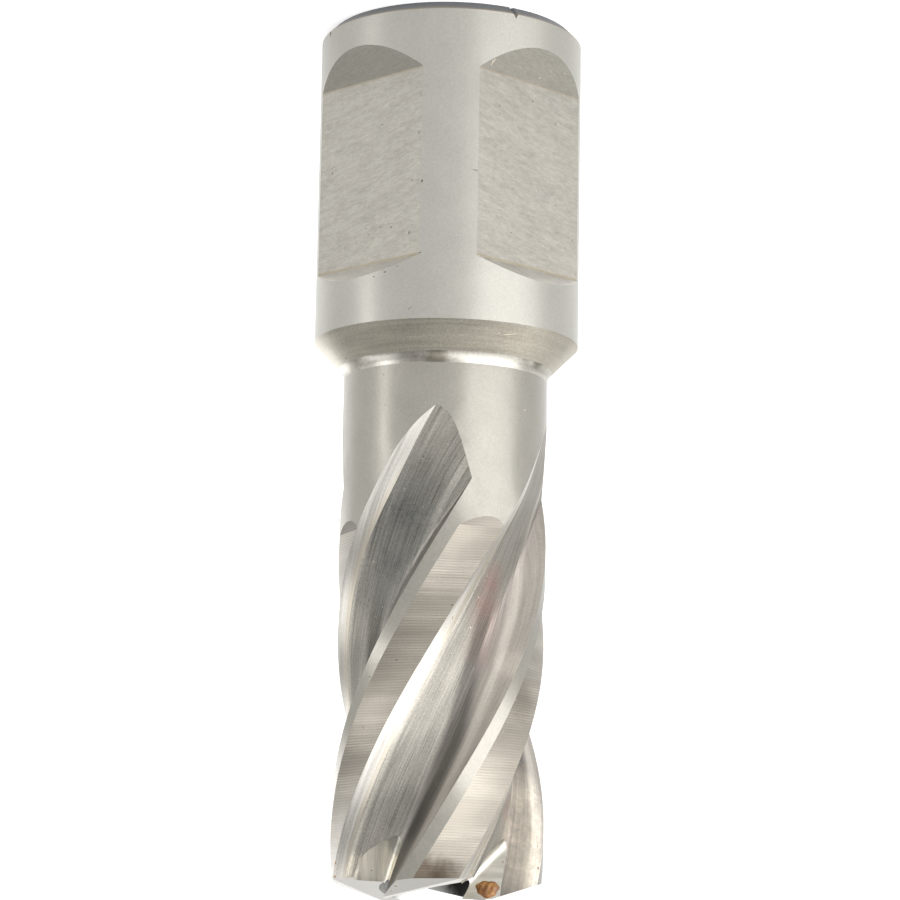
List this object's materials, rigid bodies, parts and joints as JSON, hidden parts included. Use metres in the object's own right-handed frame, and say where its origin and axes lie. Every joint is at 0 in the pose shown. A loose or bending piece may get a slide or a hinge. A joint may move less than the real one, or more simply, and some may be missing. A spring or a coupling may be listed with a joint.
{
  "type": "annular cutter",
  "caption": "Hollow steel hole cutter with a flatted round shank, a coned shoulder, helical flutes and ground teeth round a slug cavity.",
  "frame": {"origin": "centre of the shank's end face, where the cutter stands", "axes": "+Z along the tool's axis towards the teeth, -Y between the drive flats"},
  "size_m": [0.019, 0.019, 0.0627],
  "materials": {
    "steel": "ground and milled tool steel, satin"
  },
  "bodies": {
    "root": {"cutter": "steel"}
  },
  "joints": []
}
